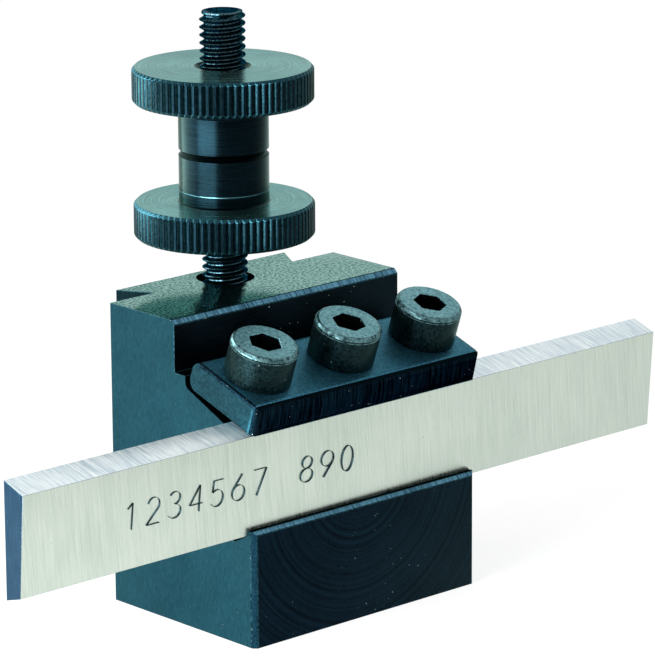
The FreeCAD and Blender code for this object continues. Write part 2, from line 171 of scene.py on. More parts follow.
@dataclass(frozen=True)
class Finish:
    """A metal surface with a grain, stains and small bright nicks.

    Colours are the metal's reflection seen face on. Sizes are in millimetres.
    """

    name: str
    dark: str
    light: str
    nick: str = "#c4d4d0"
    roughness: float = 0.34
    roughness_spread: float = 0.12
    contrast: float = 0.8
    bump_mm: float = 0.004
    stain_mm: float = 6.0
    stain: float = 0.35
    nick_mm: float = 0.5
    nick_level: float = 0.74
    edge_tint: str = "#dff4ee"
    anisotropy: float = 0.0

    def grain(self, tree: NodeTree, place: NodeSocket) -> Node:
        """The pattern left by the way the surface was made, from 0 to 1.

        Args:
            tree: the material's node tree.
            place: object coordinates in metres.

        Returns:
            The node that draws the pattern.
        """
        raise NotImplementedError

    def material(self) -> Material:
        """Build the node material once and hand it out after that."""
        known = bpy.data.materials.get(self.name)
        if known:
            return known
        made = bpy.data.materials.new(self.name)
        tree = blank(made)
        place = add(tree, "ShaderNodeTexCoord").outputs["Object"]
        grain = self.grain(tree, place)
        # Stains: soft clouds, a few millimetres across
        clouded = calc(tree, "ADD", noise(tree, place, self.stain_mm, detail=3.0), -0.5)
        stained = calc(tree, "MULTIPLY", clouded, self.stain * 2)
        lined = calc(tree, "MULTIPLY", calc(tree, "ADD", grain, -0.5), self.contrast)
        share = calc(tree, "ADD", calc(tree, "ADD", lined, stained), 0.5, clamp=True)
        tone = tint(tree, share, linear(self.dark), linear(self.light))
        # Nicks: specks where the oxide is knocked off, in loose clusters
        speck = noise(tree, place, self.nick_mm, detail=1.0, roughness=0.4)
        crowded = calc(tree, "ADD", speck, calc(tree, "MULTIPLY", clouded, CROWDING))
        nicks = stretch(tree, crowded, self.nick_level, self.nick_level + NICK_FADE,
                        kind="SMOOTHSTEP")
        half = self.roughness_spread / 2
        shader = add(tree, "ShaderNodeBsdfPrincipled", {
            "Base Color": tint(tree, nicks, tone, linear(self.nick)),
            "Metallic": 1.0,
            "Roughness": stretch(tree, grain, 0.0, 1.0, self.roughness - half,
                                 self.roughness + half),
            "Specular Tint": linear(self.edge_tint),
            "Normal": add(tree, "ShaderNodeBump", {
                "Strength": 1.0, "Distance": self.bump_mm * MM, "Height": grain}),
        })
        if self.anisotropy:
            # Turning lines run round the piece, so the shine spreads across them
            shader.inputs["Anisotropic"].default_value = self.anisotropy
            shader.inputs["Anisotropic Rotation"].default_value = 0.25
            around = add(tree, "ShaderNodeTangent", direction_type="UV_MAP", uv_map=TURNING_UV)
            tree.links.new(around.outputs[0], shader.inputs["Tangent"])
        add(tree, "ShaderNodeOutputMaterial", [shader])
        return made


@dataclass(frozen=True)
class GroundFinish(Finish):
    """A face ground or brushed in one direction: long fine lines."""

    line_mm: Triple = (0.16, 0.16, 5.0)
    lean: Triple = (0.0, 0.0, 0.0)

    def grain(self, tree: NodeTree, place: NodeSocket) -> Node:
        """Lines as fine as the grinding wheel's grit leaves them."""
        turned = add(tree, "ShaderNodeMapping", {
            "Vector": place, "Rotation": tuple(math.radians(part) for part in self.lean)})
        drawn = add(tree, "ShaderNodeMapping", {
            "Vector": turned, "Scale": tuple(1 / (size * MM) for size in self.line_mm)})
        lines = add(tree, "ShaderNodeTexNoise", {
            "Vector": drawn, "Scale": 1.0, "Detail": 4.0, "Roughness": 0.65})
        return stretch(tree, lines, 0.28, 0.72)


@dataclass(frozen=True)
class MilledFinish(Finish):
    """A face milled with a cutter that swept round one point: faint arcs."""

    centre_mm: Triple = (-1.0, 0.0, 15.0)
    arc_mm: float = 0.45

    def grain(self, tree: NodeTree, place: NodeSocket) -> Node:
        """Arcs a feed apart round the cutter's centre, with fine dust between them."""
        moved = add(tree, "ShaderNodeVectorMath", [
            place, tuple(part * MM for part in self.centre_mm)], operation="SUBTRACT")
        flat = add(tree, "ShaderNodeVectorMath", [moved, (1.0, 0.0, 1.0)], operation="MULTIPLY")
        reach = add(tree, "ShaderNodeVectorMath", [flat], operation="LENGTH")
        feed = calc(tree, "MULTIPLY", reach.outputs["Value"], 1 / (self.arc_mm * MM))
        arcs = add(tree, "ShaderNodeTexNoise", {"W": feed, "Scale": 1.0, "Detail": 3.0},
                   noise_dimensions="1D")
        return stretch(tree, blend(tree, 0.4, arcs, noise(tree, place, 0.18)), 0.32, 0.68)


@dataclass(frozen=True)
class BlastedFinish(Finish):
    """A face blasted or etched to a fine speckle."""

    speckle_mm: float = 0.22

    def grain(self, tree: NodeTree, place: NodeSocket) -> Node:
        """Pits as coarse as they need to be to show in the picture."""
        pits = noise(tree, place, self.speckle_mm, detail=3.0, roughness=0.7)
        return stretch(tree, pits, 0.36, 0.62)


@dataclass(frozen=True)
class TurnedFinish(Finish):
    """A lathe-turned face: fine lines that run round the piece.

    The lines follow the piece's own UV map, whose second axis is the way
    along the turned profile in metres.
    """

    feed_mm: float = 0.12

    def grain(self, tree: NodeTree, place: NodeSocket) -> Node:
        """One line to each turn of feed, a little uneven round the piece."""
        drawn = add(tree, "ShaderNodeMapping", {
            "Vector": add(tree, "ShaderNodeUVMap", uv_map=TURNING_UV),
            "Scale": (7.0, 1 / (self.feed_mm * MM), 1.0)})
        lines = add(tree, "ShaderNodeTexNoise", {
            "Vector": drawn, "Scale": 1.0, "Detail": 3.0, "Roughness": 0.6},
            noise_dimensions="2D")
        return stretch(tree, blend(tree, 0.25, lines, noise(tree, place, 0.35)), 0.3, 0.7)


@dataclass(frozen=True)
class FloorFinish:
    """A matt pale studio table that shows as white and keeps a soft shadow."""

    name: str = "matt_white_table"
    paper: str = "#f2f4f4"
    white: str = "#ffffff"
    fibre_mm: float = 2.0
    glow: float = 0.78

    def material(self) -> Material:
        """Diffuse paper, lifted to white for the camera and for metal that mirrors it."""
        made = bpy.data.materials.new(self.name)
        tree = blank(made)
        place = add(tree, "ShaderNodeTexCoord").outputs["Object"]
        fibre = noise(tree, place, self.fibre_mm)
        paper = add(tree, "ShaderNodeBsdfDiffuse", [
            tint(tree, fibre, linear(self.paper), linear(self.white))])
        white = add(tree, "ShaderNodeEmission", [linear(self.white), 1.0])
        rays = add(tree, "ShaderNodeLightPath").outputs
        seen = calc(tree, "ADD", rays["Is Camera Ray"], rays["Is Glossy Ray"])
        shown = calc(tree, "ADD", seen, rays["Is Transmission Ray"], clamp=True)
        share = calc(tree, "MULTIPLY", shown, self.glow)
        mixed = add(tree, "ShaderNodeMixShader", [share, paper, white])
        add(tree, "ShaderNodeOutputMaterial", [mixed])
        return made


# Every pattern's size is in real millimetres on the surface. Real grinding lines lie about
# 0.03 mm apart, turning lines 0.07 mm and blasting grain 0.1 mm; a pixel of the photograph is
# 0.1 mm. The lines and speckles below are drawn two to five times coarser, so that they show.

# Black oxide over ground and milled steel

# Oxide over ground steel, with painted light: the sides, back and bottom are painted the lighter
# blue-green of a lit side, an even, soft sheen with a little bright dust.
BLOCK_SIDE_PAINTED_LIGHT = GroundFinish(
    "black_oxide_side_painted_light", "#183a47", "#285966", roughness=0.25, roughness_spread=0.08,
    contrast=0.55, line_mm=(0.16, 0.16, 0.6), bump_mm=0.0007, nick_mm=0.26, nick_level=0.83)
# A fly cutter's arcs under the oxide show faintly; a few nicks are bare steel.
BLOCK_FRONT = MilledFinish(
    "black_oxide_milled_front", "#050d15", "#0d1f2b", contrast=0.95,
    nick="#6f8f96", nick_mm=0.3, nick_level=0.77, bump_mm=0.002)
# Blasted, then blackened: a fine speckle, glossy enough to mirror the stud.
BLOCK_TOP = BlastedFinish(
    "black_oxide_blasted_top", "#2a4245", "#b6cfc8", roughness=0.13, roughness_spread=0.06,
    contrast=1.8, speckle_mm=0.3, nick_level=0.9, bump_mm=0.0015, edge_tint="#b9d6d2")
# The upright chamfers turn towards the side light and are a plain blue-green.
BLOCK_CORNER = BlastedFinish(
    "black_oxide_upright_chamfer", "#0c2534", "#1b4050", roughness=0.38, nick_level=0.82)
# Painted shade: the step's wall faces the plate, so it is painted near black, with lines along it.
BLOCK_UPRIGHT_SHADE = GroundFinish(
    "milled_upright_painted_shade", "#060c11", "#101e26", roughness=0.38, line_mm=(2.0, 0.2, 0.2),
    contrast=0.7, nick_mm=0.3, nick_level=0.8)
# Painted shade: the dovetail's flanks lie in their own shade and are painted nearly black, with
# lines along the slide.
BLOCK_FLANK_SHADE = GroundFinish(
    "dovetail_flank_painted_shade", "#03080a", "#061215", line_mm=(0.2, 0.2, 2.0),
    nick_level=0.85)
# Painted shade: slot, seat and holes, and the plate's underside, are painted a dull near black for
# the shade they lie in.
RECESS_PAINTED_SHADE = GroundFinish(
    "recess_painted_shade", "#04090d", "#0a161c", roughness=0.45, line_mm=(3.0, 0.2, 0.2),
    nick_level=0.85, edge_tint="#6f8a8c")
# Oxide rubbed thin: a brighter blue band with the cutter's ticks across it.
BLOCK_CHAMFER = GroundFinish(
    "worn_oxide_chamfer", "#143246", "#6297b0", roughness=0.4, contrast=1.5,
    line_mm=(0.13, 4.0, 4.0), nick_mm=0.25, nick_level=0.84)
# Edges lose their oxide first: thin lines with bare, bright breaks.
BLOCK_EDGE = BlastedFinish(
    "worn_oxide_edge", "#081c23", "#234149", roughness=0.4, contrast=1.3, speckle_mm=0.35,
    nick_mm=0.22, nick_level=0.78)
# Milled and blackened: a smooth sheen that fades where the screws stand.
PLATE_TOP = BlastedFinish(
    "black_oxide_milled_plate_top", "#1e475a", "#3e7a90", roughness=0.45, contrast=0.7,
    roughness_spread=0.04, speckle_mm=0.26, bump_mm=0.0002, nick_mm=0.25, nick_level=0.82)
# Sawn: close upright streaks, almost black between them.
PLATE_FRONT = GroundFinish(
    "black_oxide_sawn_plate_front", "#020406", "#10212c", roughness=0.36, contrast=1.6,
    line_mm=(0.2, 3.0, 3.0), nick_mm=0.22, nick_level=0.78, edge_tint="#5f7a8c")
# Satin oxide, even, and lighter than the front.
PLATE_END = BlastedFinish(
    "black_oxide_plate_end", "#16323c", "#244c57", bump_mm=0.0003, roughness=0.3,
    roughness_spread=0.05, speckle_mm=0.3, nick_mm=0.22, nick_level=0.84)
# The ends' roundings are darker, so that the side light stays soft on them.
PLATE_ROUND = BlastedFinish(
    "black_oxide_plate_rounding", "#040e15", "#0d212b", roughness=0.4, contrast=1.2,
    speckle_mm=0.3, nick_mm=0.22, nick_level=0.76)
# The front's upper edge is rubbed down to lighter oxide.
PLATE_EDGE = BlastedFinish(
    "worn_oxide_plate_edge", "#17323c", "#55828f", roughness=0.36, contrast=1.4,
    speckle_mm=0.35, nick_mm=0.22)

# Bright ground high-speed steel

# Ground bare steel: pale, slightly green, with fine lines and soft stains.
BLADE_FACE = GroundFinish(
    "ground_high_speed_steel", "#a7b7ab", "#d8e1d6", nick="#8c9a90", roughness=0.3,
    contrast=0.5, line_mm=(0.22, 0.6, 9.0), lean=(0.0, 8.0, 0.0), stain_mm=9.0, stain=0.25,
    nick_level=0.85, edge_tint="#ffffff")
# The stoned edge is a thin darker line between face and rim.
BLADE_EDGE = GroundFinish(
    "broken_high_speed_steel_edge", "#4c5c66", "#7d8f98", roughness=0.4, line_mm=(0.3, 0.3, 0.3))
# Cross ground: brighter than the face, with blue-grey streaks.
BLADE_RIM = GroundFinish(
    "ground_high_speed_steel_edge", "#b4c7d1", "#f5faf8", roughness=0.42, contrast=1.2,
    line_mm=(0.16, 3.0, 3.0), lean=(0.0, 0.0, -8.0), nick_level=0.9, edge_tint="#dbe6ee")
# Cut off and not ground: the heat leaves it blue.
BLADE_END = GroundFinish(
    "cut_high_speed_steel_end", "#244159", "#39566f", roughness=0.25,
    line_mm=(2.0, 0.12, 2.0), nick_level=0.86)
# Etched figures: matt and almost black.
MARKING_INK = BlastedFinish(
    "etched_dark_marking", "#16262c", "#2c4248", roughness=0.5, nick_level=0.9)

# Black oxide over turned steel

# Turned: rings that spread the light into two pale fans.
NUT_FACE = TurnedFinish(
    "black_oxide_turned_face", "#375e62", "#87bbb9", roughness=0.22, contrast=0.9,
    feed_mm=0.14, nick_level=0.9, anisotropy=0.8, edge_tint="#cfe6e2")
# Fine turning lines draw the side light into one upright band.
NUT_HUB = TurnedFinish(
    "black_oxide_turned_hub", "#04090c", "#09181e", roughness=0.27, nick_level=0.9,
    anisotropy=0.4)
# Handling wears the rims' chamfers to a lighter ring.
NUT_CHAMFER = TurnedFinish(
    "worn_oxide_turned_chamfer", "#0e2830", "#244a55", roughness=0.3, contrast=0.6,
    nick_level=0.83)
# The knurl's ridges are rubbed thin: each one is a light line.
NUT_LAND = GroundFinish(
    "worn_oxide_knurl_land", "#091c22", "#1e3d44", contrast=1.7,
    line_mm=(0.16, 0.16, 0.3), nick="#6f9498", nick_mm=0.25, nick_level=0.83)
# The knurl's bottoms keep their oxide and stay dark.
NUT_GROOVE = GroundFinish(
    "black_oxide_knurl_groove", "#040c10", "#0b1c23", roughness=0.38, contrast=1.4,
    line_mm=(0.16, 0.16, 0.4), nick_level=0.9)
# Painted shade: between the hubs no light comes in, so the hub's chamfer is painted almost black.
NUT_GAP = TurnedFinish(
    "hub_chamfer_painted_shade", "#020405", "#070f13", roughness=0.4, nick_level=0.95)
# Painted highlight: the turned groove under the hub is painted lighter, to show a bright line of
# light.
NUT_LINE_HIGHLIGHT = TurnedFinish(
    "turned_line_painted_highlight", "#21404a", "#577f86", roughness=0.3, contrast=1.2)
# Rolled and blackened: glossy, with a glint along each crest.
THREAD = BlastedFinish(
    "black_oxide_rolled_thread", "#0a161d", "#3a5862", roughness=0.17, contrast=0.9,
    nick_level=0.84, edge_tint="#7d9aa0")
# The stud's turned end is lighter than its thread.
STUD_END = TurnedFinish(
    "black_oxide_stud_end", "#0d2c35", "#27565e", contrast=0.6, edge_tint="#5f8a90")

# Worn black oxide on the cap screws

# Worn by keys and fingers: grey-green satin with darker spots.
SCREW_TOP = BlastedFinish(
    "worn_oxide_screw_top", "#46707a", "#78a5ac", roughness=0.36, contrast=1.2, speckle_mm=0.3,
    nick_mm=0.4, nick="#2b4a4c", nick_level=0.75)
# The rims are rubbed nearly bare and give small, hard glints.
SCREW_RIM = BlastedFinish(
    "bright_worn_screw_rim", "#263f44", "#5d8084", roughness=0.3, contrast=1.2,
    speckle_mm=0.5, nick_level=0.9)
# Mottled oxide with lighter, dusty spots.
SCREW_SIDE = BlastedFinish(
    "worn_oxide_screw_side", "#081316", "#1c2f31", roughness=0.4, contrast=0.9,
    speckle_mm=0.3, nick_mm=0.3, nick="#7d9a98", nick_level=0.8, stain=0.4)
# Painted shade: the sockets are deep, so they are painted black.
SCREW_SOCKET = BlastedFinish(
    "screw_socket_painted_shade", "#020405", "#070d10", roughness=0.5)


# Mesh helpers


def linked(name: str, data: ID) -> Object:
    """Make an object of some data and link it into the scene."""
    made = bpy.data.objects.new(name, data)
    bpy.context.scene.collection.objects.link(made)
    return made


def shaded(mesh: Mesh, smooth_below: float) -> None:
    """Shade a mesh smooth, except across edges sharper than an angle in degrees."""
    mesh.shade_smooth()
    mesh.set_sharp_from_angle(angle=math.radians(smooth_below))


def plain(shape: BMesh, name: str) -> Mesh:
    """Turn a shape under construction into a mesh and free the shape."""
    mesh = bpy.data.meshes.new(name)
    shape.to_mesh(mesh)
    shape.free()
    return mesh


def outward(mesh: Mesh) -> None:
    """Turn every face of a closed mesh outwards."""
    shape = bmesh.new()
    shape.from_mesh(mesh)
    bmesh.ops.recalc_face_normals(shape, faces=shape.faces)
    shape.to_mesh(mesh)
    shape.free()


def evaluated(made: Object) -> Object:
    """Turn an object with modifiers into a plain mesh and drop the modifiers."""
    graph = bpy.context.evaluated_depsgraph_get()
    mesh = bpy.data.meshes.new_from_object(made.evaluated_get(graph))
    made.modifiers.clear()
    made.data = mesh
    return made


@dataclass
class Softened:
    """A CAD node's copy with small rounded edges and a finish for each face."""

    node: str
    body: str
    slot: str
    name: str
    finishes: tuple[Finish, ...]
    edge: Finish
    edge_mm: float = 0.07
    shortest_mm: float = 1.2
    sharp: float = 30.0
    flat: float = 0.4
    smooth_below: float = 20.0

    def finish_of(self, normal: Vector, middle: Vector) -> Finish:
        """The finish of one face.

        Args:
            normal: the face's outward direction.
            middle: the face's middle, in millimetres.

        Returns:
            One of the piece's finishes.
        """
        raise NotImplementedError

    def reshape(self, shape: BMesh) -> None:
        """Small changes of shape before the edges are softened; none here."""

    def softness(self, edge: BMEdge) -> float:
        """How much of the full softening an edge gets, from 0 to 1."""
        return 1.0 if edge.calc_length() > self.shortest_mm * MM else 0.0

    def build(self) -> Object:
        """Copy, merge, soften and dress the node, and stand in for it."""
        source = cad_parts[self.node].data
        shape = bmesh.new()
        corners = [shape.verts.new(vertex.co) for vertex in source.vertices]
        for face in source.polygons:
            shape.faces.new([corners[number] for number in face.vertices])
        bmesh.ops.remove_doubles(shape, verts=shape.verts, dist=WELD)
        bmesh.ops.dissolve_limit(shape, angle_limit=math.radians(self.flat),
                                 verts=shape.verts, edges=shape.edges)
        self.reshape(shape)
        shape.normal_update()
        weight = shape.edges.layers.float.new("bevel_weight_edge")
        for edge in shape.edges:
            if len(edge.link_faces) == 2 and edge.calc_face_angle() > math.radians(self.sharp):
                edge[weight] = self.softness(edge)
        for face in shape.faces:
            finish = self.finish_of(face.normal, face.calc_center_median() / MM)
            face.material_index = self.finishes.index(finish)
        mesh = plain(shape, self.name)
        for finish in self.finishes:
            mesh.materials.append(finish.material())
        made = linked(self.name, mesh)
        bevel = made.modifiers.new("softened_edges", "BEVEL")
        bevel.limit_method = "WEIGHT"
        bevel.width = self.edge_mm * MM
        bevel.segments = 2
        bevel.use_clamp_overlap = False
        bevel.material = self.finishes.index(self.edge)
        evaluated(made)
        shaded(made.data, self.smooth_below)
        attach(made, self.body)
        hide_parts(self.node)
        log.info("%s: %d faces", self.name, len(made.data.polygons))
        return made


@dataclass
class HolderBlock(Softened):
    """The steel block: ground sides in painted light, milled front, blasted top, worn chamfers,
    painted shade in its recesses.
    """

    node: str = "holder_block"
    body: str = "block"
    slot: str = "block_steel"
    name: str = "block"
    finishes: tuple[Finish, ...] = (
        BLOCK_SIDE_PAINTED_LIGHT, BLOCK_FRONT, BLOCK_TOP, RECESS_PAINTED_SHADE, BLOCK_CHAMFER, BLOCK_EDGE,
        BLOCK_CORNER, BLOCK_UPRIGHT_SHADE, BLOCK_FLANK_SHADE)
    edge: Finish = BLOCK_EDGE
    front_mm: float = -21.2
    lip_mm: float = -20.0
    waist_mm: float = 25.0
    shoulder_mm: float = 30.0
    top_mm: float = 31.1
    stud_y: float = -0.2
    sink: float = 3.1

    def finish_of(self, normal: Vector, middle: Vector) -> Finish:
        """Front, top and chamfers by the way they face; sides, back and bottom get painted light,
        and the upright, flanks and recesses painted shade.
        """
        slanted = max(abs(part) for part in normal) < 0.8
        high = middle.z > self.waist_mm
        if normal.z > FACING and middle.z > self.top_mm:
            return BLOCK_TOP
        if high and math.hypot(middle.x, middle.y - self.stud_y) < self.sink:
            return RECESS_PAINTED_SHADE
        if abs(normal.x) > 0.8:
            return BLOCK_SIDE_PAINTED_LIGHT if abs(normal.x) > 0.95 else BLOCK_FLANK_SHADE
        if normal.y < -FACING and self.front_mm < middle.y and high:
            return BLOCK_UPRIGHT_SHADE
        if normal.y < -FACING and middle.y < self.front_mm:
            return BLOCK_FRONT
        if slanted and abs(normal.x) > 0.6:
            return BLOCK_CORNER
        outer = middle.y < self.lip_mm or middle.z > self.shoulder_mm
        if slanted and normal.y < -0.6 and outer:
            return BLOCK_CHAMFER
        return BLOCK_SIDE_PAINTED_LIGHT if normal.y > 0.5 or normal.z < -FACING else RECESS_PAINTED_SHADE


@dataclass
class PartingBlade(Softened):
    """The blade: ground faces, brighter bevelled rims, cut ends."""

    node: str = "parting_blade"
    body: str = "blade"
    slot: str = "blade_steel"
    name: str = "blade"
    finishes: tuple[Finish, ...] = (BLADE_FACE, BLADE_RIM, BLADE_END, BLADE_EDGE)
    edge: Finish = BLADE_EDGE
    edge_mm: float = 0.022

    def finish_of(self, normal: Vector, middle: Vector) -> Finish:
        """Faces, rims and ends by the way they face."""
        if abs(normal.x) > FACING:
            return BLADE_END
        return BLADE_FACE if abs(normal.y) > FACING else BLADE_RIM


@dataclass
class ClampPlate(Softened):
    """The clamp plate: milled top, sawn front, rounded heel, worn front edge."""

    node: str = "clamp_plate"
    body: str = "clamp"
    slot: str = "plate_steel"
    name: str = "plate"
    finishes: tuple[Finish, ...] = (
        PLATE_TOP, PLATE_FRONT, PLATE_END, PLATE_EDGE, RECESS_PAINTED_SHADE, PLATE_ROUND)
    edge: Finish = PLATE_EDGE
    edge_mm: float = 0.4
    crisp: float = 0.3
    front_crisp: float = 0.35
    tilt: float = 19.0
    seat: Triple = (0.0, -17.457458, 26.270742)
    end_mm: float = 14.0
    end_zone: float = 14.9
    front_zone: float = -4.0
    front: float = -4.584
    reach: float = 0.23
    thick: float = 3.1
    foot_share: float = 0.8

    def reshape(self, shape: BMesh) -> None:
        """Bring the front's lower edge forward until it meets the blade's edge."""
        turn = Matrix.Rotation(math.radians(self.tilt), 3, "X")
        seat = Vector(self.seat) * MM
        for corner in shape.verts:
            spot = turn.inverted() @ (corner.co - seat)
            ahead = (self.front_zone * MM - spot.y) / ((self.front_zone - self.front) * MM)
            if ahead > 0:
                spot.y += ahead * self.reach * spot.z / self.thick
                if spot.z < -self.foot_share * self.thick * MM:
                    spot.z = -self.thick * MM
                corner.co = turn @ spot + seat
                corner.co.y = max(corner.co.y, MODEL_BOX[0][1])

    def softness(self, edge: BMEdge) -> float:
        """Full at the ends' upper edges, which are well rounded; crisp elsewhere."""
        turn = Matrix.Rotation(math.radians(-self.tilt), 3, "X")
        ways = [turn @ face.normal for face in edge.link_faces]
        outside = all(abs(corner.co.x) > self.end_zone * MM for corner in edge.verts)
        if outside and any(way.z > FACING for way in ways):
            return self.front_crisp if any(way.y < -0.2 for way in ways) else 1.0
        return self.crisp * super().softness(edge)

    def finish_of(self, normal: Vector, middle: Vector) -> Finish:
        """Top, front and ends by the way they face, in the tilted plate."""
        way = Matrix.Rotation(math.radians(-self.tilt), 3, "X") @ normal
        if way.z > FACING:
            return PLATE_TOP
        if way.y < -0.7:
            return PLATE_FRONT
        if abs(way.x) > 0.3 and abs(middle.x) > self.end_mm:
            return PLATE_END if abs(way.x) > 0.97 or way.y > 0 else PLATE_ROUND
        # Hole walls, back and underside get the recesses' painted shade.
        if abs(way.x) > 0.5:
            return RECESS_PAINTED_SHADE
        return PLATE_TOP if way.y > 0.5 and way.z > 0 else RECESS_PAINTED_SHADE

    def build(self) -> Object:
        """Build as the others, then give the ends' roundings their own finish."""
        made = super().build()
        edge, rounding = self.finishes.index(self.edge), self.finishes.index(PLATE_ROUND)
        for face in made.data.polygons:
            if face.material_index == edge and abs(face.center.x) > self.end_zone * MM:
                face.material_index = rounding
        return made


# Turned pieces


@dataclass
class Lathe:
    """A closed profile swept round an upright axis, with a UV map for its lines.

    Each run of the profile starts at a radius and a height in millimetres and has a finish.
    """

    runs: list[tuple[float, float, Finish]]
    angles: list[float]

    def mesh(self, name: str, finishes: Sequence[Finish]) -> Mesh:
        """Sweep the profile.

        Args:
            name: the mesh's name.
            finishes: the finishes of the mesh, in the order of its material slots.

        Returns:
            A closed mesh about the Z axis, in metres.
        """
        count, steps = len(self.runs), len(self.angles)
        corners = [
            (radius * MM * math.cos(angle), radius * MM * math.sin(angle), height * MM)
            for angle in self.angles for radius, height, _ in self.runs
        ]
        ways = [0.0]
        for start, end in zip(self.runs, self.runs[1:] + self.runs[:1]):
            ways.append(ways[-1] + math.dist(start[:2], end[:2]) * MM)
        faces, uvs = [], []
        for step in range(steps):
            following = (step + 1) % steps
            turn, next_turn = step / steps, (step + 1) / steps
            for number in range(count):
                after = (number + 1) % count
                faces.append((step * count + number, following * count + number,
                              following * count + after, step * count + after))
                uvs += [(turn, ways[number]), (next_turn, ways[number]),
                        (next_turn, ways[number + 1]), (turn, ways[number + 1])]
        mesh = bpy.data.meshes.new(name)
        mesh.from_pydata(corners, [], faces)
        layer = mesh.uv_layers.new(name=TURNING_UV)
        for loop, spot in zip(layer.data, uvs):
            loop.uv = spot
        for finish in finishes:
            mesh.materials.append(finish.material())
        slots = [finishes.index(finish) for *_, finish in self.runs]
        mesh.polygons.foreach_set("material_index", slots * steps)
        return mesh


class Tree:
    """A geometry node tree with named inputs."""

    def __init__(self, name: str, labels: Sequence[str]) -> None:
        """Start a tree.

        Args:
            name: the tree's name.
            labels: names of its number inputs.
        """
        self.nodes = bpy.data.node_groups.new(name, "GeometryNodeTree")
        face = self.nodes.interface
        face.new_socket("Geometry", in_out="INPUT", socket_type="NodeSocketGeometry")
        self.keys = {
            label: face.new_socket(
                label, in_out="INPUT", socket_type="NodeSocketFloat").identifier
            for label in labels
        }
        material = face.new_socket("Finish", in_out="INPUT", socket_type="NodeSocketMaterial")
        self.keys["Finish"] = material.identifier
        face.new_socket("Geometry", in_out="OUTPUT", socket_type="NodeSocketGeometry")
        self.given = add(self.nodes, "NodeGroupInput").outputs

    def close(self, geometry: Node, keep_finishes: bool = False) -> None:
        """End the tree with real geometry that has its finish.

        Args:
            geometry: the last node that shapes the piece.
            keep_finishes: keep the finishes of the given mesh, and give the finish
                only to faces that have none, of which there are none.
        """
        real = add(self.nodes, "GeometryNodeRealizeInstances", [geometry])
        chosen = add(self.nodes, "GeometryNodeSetMaterial", {
            "Geometry": real, "Selection": not keep_finishes, "Material": self.given["Finish"]})
        add(self.nodes, "NodeGroupOutput", [chosen])

    def run(self, made: Object, values: Mapping[str, object]) -> Object:
        """Run the tree on an object and keep the result as its mesh.

        Args:
            made: the object that carries the tree for a moment.
            values: a value for each input by name.

        Returns:
            The same object with a plain mesh.
        """
        modifier = made.modifiers.new(self.nodes.name, "NODES")
        modifier.node_group = self.nodes
        for label, value in values.items():
            modifier[self.keys[label]] = value
        return evaluated(made)


def knurl_tree() -> Tree:
    """Grooves round a rim: each point is pulled in to the groove's outline."""
    tree = Tree("knurl", ["Rim", "Depth", "Teeth", "Groove"])
    nodes, given = tree.nodes, tree.given
    position = add(nodes, "GeometryNodeInputPosition")
    across, along, _ = add(nodes, "ShaderNodeSeparateXYZ", [position]).outputs
    angle = calc(nodes, "ARCTAN2", along, across)
    teeth = calc(nodes, "MULTIPLY", calc(nodes, "DIVIDE", angle, 2 * math.pi), given["Teeth"])
    # A whole number of teeth more keeps it positive, and half a tooth centres the groove
    share = calc(nodes, "FRACT", calc(nodes, "ADD", teeth, 1000.5))
    off = calc(nodes, "ABSOLUTE", calc(nodes, "SUBTRACT", share, 0.5))
    spread = calc(nodes, "DIVIDE", off, calc(nodes, "DIVIDE", given["Groove"], 2.0))
    inward = calc(nodes, "SUBTRACT", 1.0, spread, clamp=True)
    bite = calc(nodes, "MULTIPLY", inward, given["Depth"])
    limit = calc(nodes, "SUBTRACT", given["Rim"], bite)
    flat = add(nodes, "ShaderNodeCombineXYZ", [across, along])
    reach = add(nodes, "ShaderNodeVectorMath", [flat], operation="LENGTH").outputs["Value"]
    factor = calc(nodes, "DIVIDE", calc(nodes, "MINIMUM", reach, limit), reach)
    scale = add(nodes, "ShaderNodeCombineXYZ", [factor, factor, 1.0])
    target = add(nodes, "ShaderNodeVectorMath", [position, scale], operation="MULTIPLY")
    moved = add(nodes, "GeometryNodeSetPosition", {
        "Geometry": given["Geometry"], "Position": target})
    tree.close(moved, keep_finishes=True)
    return tree


def thread_tree() -> Tree:
    """A screw thread: a sheet wound on a helix and sewn together turn to turn."""
    tree = Tree("thread", [
        "Pitch", "Crest", "Root", "Turns", "Low", "High", "Run-out", "End", "Around"])
    nodes, given = tree.nodes, tree.given
    steps = calc(nodes, "MULTIPLY", given["Turns"], given["Around"])
    sheet = add(nodes, "GeometryNodeMeshGrid", {
        "Size X": 1.0, "Size Y": 1.0, "Vertices X": calc(nodes, "ADD", steps, 1.0),
        "Vertices Y": ACROSS_THREAD})
    position = add(nodes, "GeometryNodeInputPosition")
    along, across, _ = add(nodes, "ShaderNodeSeparateXYZ", [position]).outputs
    turns = calc(nodes, "MULTIPLY", calc(nodes, "ADD", along, 0.5), given["Turns"])
    angle = calc(nodes, "MULTIPLY", turns, 2 * math.pi)
    climb = calc(nodes, "ADD", turns, calc(nodes, "ADD", across, 0.5))
    rise = calc(nodes, "MULTIPLY", climb, given["Pitch"])
    height = calc(nodes, "ADD", rise, given["Low"])
    # Across the sheet: flat root, straight flank, a crest of an eighth of the pitch, and back
    slope = stretch(nodes, calc(nodes, "ABSOLUTE", across), *FLANK, 1.0, 0.0)
    tooth = calc(nodes, "SUBTRACT", given["Crest"], given["Root"])
    radius = calc(nodes, "ADD", calc(nodes, "MULTIPLY", slope, tooth), given["Root"])
    # Run-out: near the top end the thread fades into the end's rim
    begin = calc(nodes, "SUBTRACT", given["High"], given["Run-out"])
    fade = stretch(nodes, height, begin, given["High"], kind="SMOOTHSTEP")
    faded = blend(nodes, fade, radius, given["End"])
    target = add(nodes, "ShaderNodeCombineXYZ", [
        *(calc(nodes, "MULTIPLY", calc(nodes, part, angle), faded) for part in ("COSINE", "SINE")),
        height])
    wound = add(nodes, "GeometryNodeSetPosition", {"Geometry": sheet, "Position": target})
    tree.close(add(nodes, "GeometryNodeMergeByDistance", {
        "Geometry": wound, "Distance": SEW}))
    return tree


